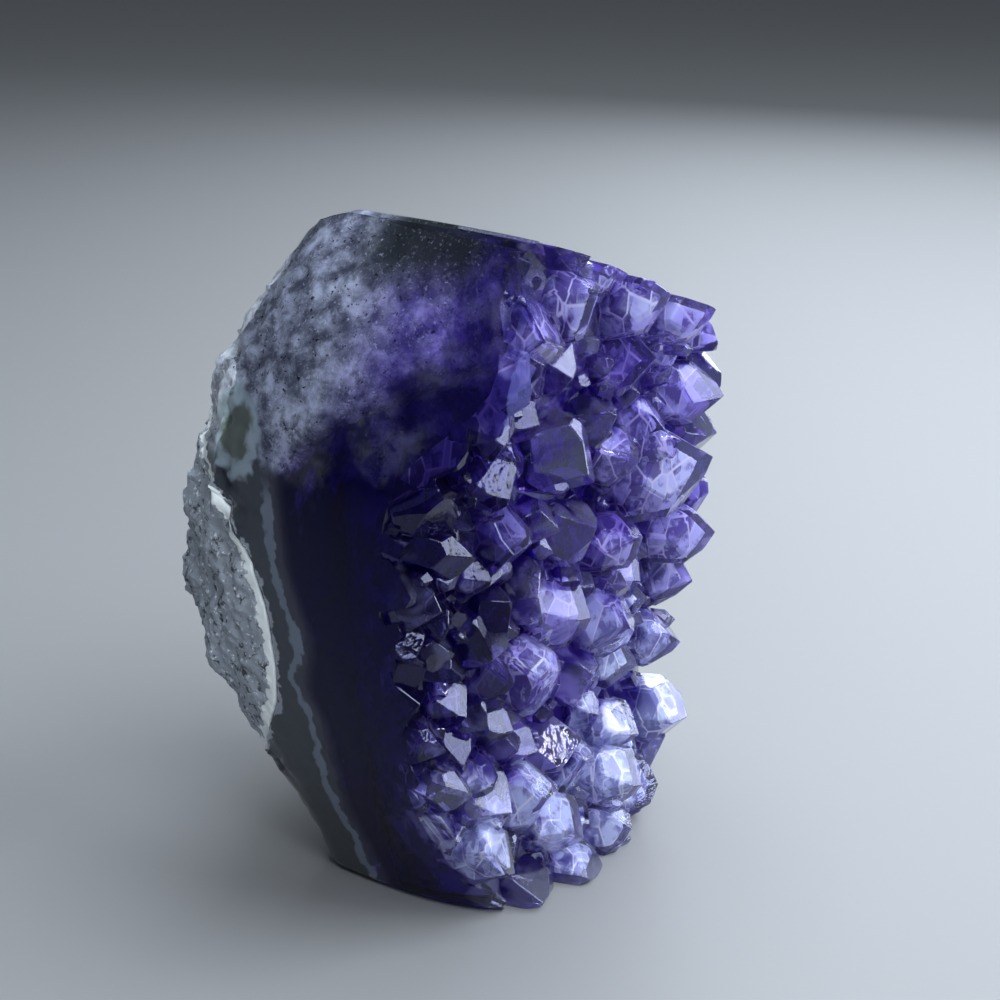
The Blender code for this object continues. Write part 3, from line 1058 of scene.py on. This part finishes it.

# %% [markdown]
# ## Broken light inside
#
# Quartz is full of healed fractures, and each flat of a fracture is lit otherwise. Modelled flakes look
# like litter in the crystals, so two sizes of straight-edged cells paint that light on the cloudy hearts
# and on the cloudy quartz under the crystals: patches of painted reflection, lighter and darker, with
# painted glints as bright lines where the large cells meet.

# %% Broken light inside the quartz: angular patches and bright edges between them
def painted_fracture_light_group():
    tree, out = new_shader_group("painted_fracture_light", Light="Float", Edge="Float")
    where = from_group(tree, stone_measures, "Place")
    squash = {0: where, 1: (1.0, 0.7, 0.45)}
    bend = add(tree, "ShaderNodeVectorMath", squash, operation="MULTIPLY").outputs[0]
    # painted reflection: lighter and darker patches stand for fracture flats catching the light
    patches = number(tree, "MULTIPLY", voronoi(tree, bend, 0.42, "F1", "Color"), 0.6)
    small_patches = number(tree, "MULTIPLY", voronoi(tree, bend, 1.1, "F1", "Color"), 0.4)
    drift = fade(tree, clouds(tree, where, 0.5, 5.0, 0.65), 0.3, 0.7, -0.2, 0.2)
    light = number(tree, "ADD", number(tree, "ADD", patches, small_patches), drift)
    # painted glints: bright lines where the large cells meet
    gap = voronoi(tree, bend, 0.42, "DISTANCE_TO_EDGE", "Distance")
    tree.links.new(fade(tree, light, 0.32, 0.68), out.inputs["Light"])
    tree.links.new(fade(tree, gap, 0.05, 0.01), out.inputs["Edge"])
    return tree


painted_fracture_light = painted_fracture_light_group()
print("broken quartz:", len(painted_fracture_light.nodes), "nodes")

# %% [markdown]
# ## Clear amethyst
#
# A see-through violet stone: plain transmission with quartz's own refraction, and a plain absorption
# inside that deepens the violet with depth. The colour on the surface varies with the place and holds
# painted light. Painted shade darkens the violet down between the crystals near the floor and lightens
# it towards the tips, and each facet's own value paints that facet brighter or darker as painted reflection.
# Natural faces are slightly rippled and have the sharp shine of growth faces, and the ground rim is even.

# %% Clear amethyst
FACE_SHINE, RIPPLE_HEIGHT = 0.5, 0.16
RIPPLES = {"Normal": 0.4, "Coat Normal": 0.15}
glass, shader = plain("clear_amethyst", (0.93, 0.9, 1.0), 0.03)
tree = glass.node_tree
where = from_group(tree, stone_measures, "Place")
milky, deep, pale, rim = from_group(tree, stone_zones, "Milky", "Deep", "Pale", "Rim")
shader.inputs["IOR"].default_value = 1.544
shader.inputs["Transmission Weight"].default_value = 0.95
shader.inputs["Specular IOR Level"].default_value = 0.25
shader.inputs["Specular Tint"].default_value = (0.16, 0.17, 0.42, 1.0)
clarity_and_facet_light = attribute(tree, "clarity_and_facet_light")
# painted shade: the violet darkens down between the crystals near the floor and lightens towards the tips
wisps = clouds(tree, where, 0.25, 2.0, 0.6, 0.6)
tip = number(tree, "ADD", attribute(tree, "reach"), fade(tree, wisps, 0.3, 0.7, -3.0, 3.0))
colour = blend(tree, fade(tree, tip, -1.0, 3.5), (0.04, 0.02, 0.22), (0.60, 0.53, 0.93))
# painted reflection: facets with a low value are painted darker violet, and those with a high value near
# white towards the tips
colour = blend(tree, fade(tree, clarity_and_facet_light, 0.25, -0.1), colour, (0.20, 0.13, 0.52))
bright = number(tree, "MULTIPLY", fade(tree, clarity_and_facet_light, 0.35, 0.9), fade(tree, tip, 1.5, 6.0))
colour = blend(tree, bright, colour, (0.84, 0.88, 1.0))
# pale tips: partly pale quartz, partly painted light shining through the crystals
pale_tip = number(tree, "MULTIPLY", pale, fade(tree, tip, -1.0, 3.0))
colour = blend(tree, pale_tip, colour, (0.88, 0.93, 1.0))
# deep: partly the quartz's own dark tone, partly painted shade on the lower near face
colour = blend(tree, deep, colour, blend(tree, bright, (0.04, 0.025, 0.16), (0.60, 0.60, 0.95)))
colour = blend(tree, milky, colour, from_group(tree, milky_quartz, "Colour"))
bare_rim = number(tree, "MULTIPLY", rim, fade(tree, milky, 1.0, 0.0))
colour = blend(tree, bare_rim, colour, (0.60, 0.64, 0.68))
colour = blend(tree, from_group(tree, agate_eye, "Here"), colour, (0.86, 0.90, 0.92))
tree.links.new(colour, shader.inputs["Base Color"])
natural_face = number(tree, "SUBTRACT", 1.0, attribute(tree, "polish"))
own_place = add(tree, "ShaderNodeTexCoord").outputs["Object"]
own_place = add(tree, "ShaderNodeVectorMath", {0: own_place, "Scale": 1 / MM}, operation="SCALE").outputs[0]
ripple = clouds(tree, own_place, 0.9, 2.0, 0.55, 0.4)
tree.links.new(number(tree, "MULTIPLY", natural_face, FACE_SHINE), shader.inputs["Coat Weight"])
for socket, share in RIPPLES.items():
    strength = number(tree, "MULTIPLY", natural_face, share)
    bump = {"Strength": strength, "Distance": RIPPLE_HEIGHT * MM, "Height": ripple}
    tree.links.new(add(tree, "ShaderNodeBump", bump).outputs[0], shader.inputs[socket])
fog = tree.nodes.new("ShaderNodeVolumeAbsorption")
fog.inputs["Color"].default_value = (0.42, 0.14, 0.78, 1.0)
fog.inputs["Density"].default_value = 120.0
tree.links.new(fog.outputs["Volume"], tree.nodes["Material Output"].inputs["Volume"])
dress(amethyst, glass)

# %% [markdown]
# ## Cloudy quartz with its agate bands
#
# From the rock outwards: a ragged white border, a dark green rind, a thin pale line of agate, then
# quartz that is nearly black under the near rim and violet under the crystals. The near black is partly
# the quartz's own dark tone and partly painted shade, the violet holds patches of painted reflection from
# fracture flats, and the pale lower right is partly pale quartz and partly painted light. The distances
# kept on the piece place each band, and noise makes it waver as layers do.

# %% Cloudy quartz with its agate bands
cloudy, shader = plain("cloudy_quartz", (0.12, 0.10, 0.2), 0.35)
tree = cloudy.node_tree
height, where = from_group(tree, stone_measures, "Height", "Place")
milky, deep, pale = from_group(tree, stone_zones, "Milky", "Deep", "Pale")
waver = fade(tree, clouds(tree, where, 0.38, 3.0), 0.25, 0.75, -0.6, 0.6)
layer = number(tree, "ADD", attribute(tree, "layer"), waver)
# painted reflection from fracture flats: lighter and darker violet patches
light = from_group(tree, painted_fracture_light, "Light")
colour = blend(tree, light, (0.10, 0.05, 0.30), (0.46, 0.36, 0.82))
# nearly black: partly the quartz's own dark tone, partly painted shade on the lower near face
colour = blend(tree, deep, colour, (0.010, 0.007, 0.03))
# pale: partly pale quartz, partly painted light shining through the crystals
colour = blend(tree, pale, colour, (0.70, 0.76, 0.95))
colour = blend(tree, fade(tree, layer, 3.0, 0.8), colour, (0.022, 0.024, 0.045))
colour = blend(tree, milky, colour, from_group(tree, milky_quartz, "Colour"))
rind = fade(tree, layer, -0.4, -0.8)
rind_colour = blend(tree, clouds(tree, where, 0.7, 3.0), (0.018, 0.032, 0.036), (0.06, 0.085, 0.088))
rind = number(tree, "MULTIPLY", rind, fade(tree, height, 58.0, 52.0))
colour = blend(tree, rind, colour, rind_colour)
line = fade(tree, number(tree, "ABSOLUTE", layer), 0.75, 0.35)
line = number(tree, "MULTIPLY", line, fade(tree, height, 54.0, 50.0))
colour = blend(tree, line, colour, (0.42, 0.50, 0.56))
ragged = fade(tree, clouds(tree, where, 0.6, 4.0), 0.3, 0.7, -0.6, 0.6)
border = number(tree, "ADD", attribute(tree, "rock"), ragged)
colour = blend(tree, fade(tree, border, 0.5, 0.2), colour, (0.92, 0.95, 0.95))
eye_here, eye = from_group(tree, agate_eye, "Here", "Colour")
colour = blend(tree, eye_here, colour, eye)
tree.links.new(colour, shader.inputs["Base Color"])
dress(quartz, cloudy)

# %% [markdown]
# ## Cloudy hearts of the crystals
#
# Milk and fractures scatter light inside the pale crystals, and the colour paints it: patches of painted
# reflection from fracture flats, painted glints along their edges, and painted shade that keeps the
# hearts darker near the floor and brighter towards the tips. They are bluish white at the lower right
# and at the foot, partly pale quartz and partly painted light.

# %% Cloudy hearts of the crystals
cloud, shader = plain("crystal_cloud", (0.7, 0.8, 1.0), 0.5)
tree = cloud.node_tree
pale = from_group(tree, stone_zones, "Pale")
light, edge = from_group(tree, painted_fracture_light, "Light", "Edge")
# painted shade and light: the hearts are darker near the floor and paler towards the tips
reach = fade(tree, attribute(tree, "reach"), -0.5, 5.0)
colour = blend(tree, light, (0.09, 0.05, 0.30), (0.52, 0.54, 0.84))
colour = blend(tree, number(tree, "MULTIPLY", reach, light), colour, (0.74, 0.82, 0.98))
# pale hearts: partly pale quartz, partly painted light shining through the crystals
colour = blend(tree, pale, colour, blend(tree, light, (0.18, 0.20, 0.46), (0.68, 0.79, 0.96)))
# painted glints along the fracture edges
colour = blend(tree, edge, colour, (0.94, 0.97, 1.0))
tree.links.new(colour, shader.inputs["Base Color"])
dress(clouds_inside, cloud)

# %% [markdown]
# ## Host rock
#
# Grey basalt, matte, with pale grains and dark pores, and whitish where it meets the quartz.

# %% Host rock
basalt, shader = plain("basalt", (0.26, 0.26, 0.25), 0.85)
tree = basalt.node_tree
where = from_group(tree, stone_measures, "Place")
salt = fade(tree, clouds(tree, where, 1.5, 3.0, 0.65), 0.56, 0.70)
pepper = fade(tree, clouds(tree, where, 0.8, 4.0, 0.7), 0.48, 0.34)
colour = blend(tree, clouds(tree, where, 0.25, 3.0), (0.22, 0.25, 0.29), (0.46, 0.50, 0.56))
colour = blend(tree, pepper, colour, (0.04, 0.045, 0.055))
colour = blend(tree, salt, colour, (0.80, 0.86, 0.92))
ragged = fade(tree, clouds(tree, where, 0.7, 4.0), 0.3, 0.7, -0.5, 0.5)
border = number(tree, "ADD", attribute(tree, "edge"), ragged)
colour = blend(tree, fade(tree, border, 1.5, 1.25), colour, (0.90, 0.94, 0.93))
tree.links.new(colour, shader.inputs["Base Color"])
dress(rock, basalt)

# %% [markdown]
# ## What each piece belongs to
#
# Nothing moves, so every piece rides on the root. Each takes the place of the solid that it dresses.

# %% Every piece rides on the stone
for piece, slot, node in (
    (amethyst, "amethyst", "amethyst"),
    (quartz, "amethyst", "amethyst"),
    (clouds_inside, "amethyst", "amethyst"),
    (rock, "basalt", "basalt_matrix"),
):
    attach(piece, "root")
    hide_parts(node)


# %% [markdown]
# ## The camera
#
# The camera stands where the photo was taken: about 20 degrees above the table and a little more than
# 20 cm away. Its long lens keeps the stone's upright lines nearly straight.

# %% The camera of the photo
PHOTO_SIZE, STONE_IN_PHOTO, FOCAL_PIXELS = 1000, (458, 521), 1866.0
ELEVATION, DISTANCE = math.radians(20.7), 0.225
AIM = Vector((0.4, 0.25, 40.0)) * MM
off_x, off_y = (pixel - PHOTO_SIZE / 2 for pixel in STONE_IN_PHOTO)
lens = bpy.data.cameras.new("camera")
lens.sensor_width = 36
lens.lens = lens.sensor_width * FOCAL_PIXELS / PHOTO_SIZE
lens.clip_start = 0.01
camera = bpy.data.objects.new("camera", lens)
bpy.context.scene.collection.objects.link(camera)
camera.location = AIM + Vector((0, -math.cos(ELEVATION), math.sin(ELEVATION))) * DISTANCE
pitch = ELEVATION - math.atan(off_y / FOCAL_PIXELS)
camera.rotation_euler = (math.pi / 2 - pitch, 0, math.atan(off_x / FOCAL_PIXELS))
bpy.context.scene.camera = camera
print("camera:", [round(v, 3) for v in camera.location], round(lens.lens, 1), "mm")

# %% [markdown]
# ## The table
#
# The stone stands on plain grey paper, dark enough that the crystals keep their brightness beside it.

# %% The table
clear_selection()
bpy.ops.mesh.primitive_plane_add(size=3.0, location=(0, 0, -0.05 * MM))
table = bpy.context.object
table.name = "table"
paper, shader = plain("paper", (0.19, 0.19, 0.19), 0.6)
dress(table, paper)
table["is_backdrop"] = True

# %% [markdown]
# ## Lamps
#
# Glass shows what it reflects, and violet quartz needs light through it. Large soft lamps from the right
# and behind light the crystals through and leave the polished rim dark. A few very small ones give the
# glints on single facets.

# %% Lamps: large soft ones, and very small ones for glints
COOL, WHITE = (0.82, 0.90, 1.0), (1.0, 1.0, 1.0)
SOFT_LAMPS = (
    ("key", (0.40, -0.05, 0.36), 0.42, 5.5),
    ("top", (0.04, 0.12, 0.52), 0.34, 2.2),
    ("back", (0.20, 0.45, 0.28), 0.34, 2.2),
    ("front", (0.16, -0.42, 0.42), 0.28, 2.2),
)
SPARKS = (
    (0.02, -0.35, 0.52),
    (0.38, -0.30, 0.38),
    (0.20, 0.02, 0.60),
    (0.30, -0.45, 0.20),
    (0.10, -0.20, 0.62),
)
SPARK_SIZE, SPARK_POWER = 0.03, 0.1
LIT_PLACE = Vector((0, 0, 0.035))


def lamp(name, where, size, power, colour):
    data = bpy.data.lights.new(name, "AREA")
    data.size = size
    data.energy = power
    data.color = colour
    obj = bpy.data.objects.new(name, data)
    obj.location = where
    obj.rotation_euler = (LIT_PLACE - Vector(where)).to_track_quat("-Z", "Y").to_euler()
    bpy.context.scene.collection.objects.link(obj)


for name, where, size, power in SOFT_LAMPS:
    lamp(name, where, size, power, COOL)
for n, where in enumerate(SPARKS):
    lamp(f"spark_{n}", where, SPARK_SIZE, SPARK_POWER, WHITE)
print(len(SOFT_LAMPS), "soft lamps,", len(SPARKS), "small ones")

# %% [markdown]
# ## The light all round
#
# A weak bluish light fills the shadows, as a bright room would. The plain view keeps the colours as they
# are set.

# %% The light all round, and colours shown as they are
world = bpy.data.worlds.new("studio")
world.use_nodes = True
sky = world.node_tree.nodes["Background"]
sky.inputs["Color"].default_value = (0.50, 0.57, 0.66, 1.0)
sky.inputs["Strength"].default_value = 0.3
bpy.context.scene.world = world
bpy.context.scene.view_settings.view_transform = "Standard"

# %% [markdown]
# ## The end
#
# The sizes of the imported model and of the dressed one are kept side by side.

# %% Sizes, and the end
seen_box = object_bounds()
sizes = {"cad": [list(v) for v in cad_box], "visual": [list(v) for v in seen_box]}
print({k: [[round(c / MM, 2) for c in v] for v in b] for k, b in sizes.items()})
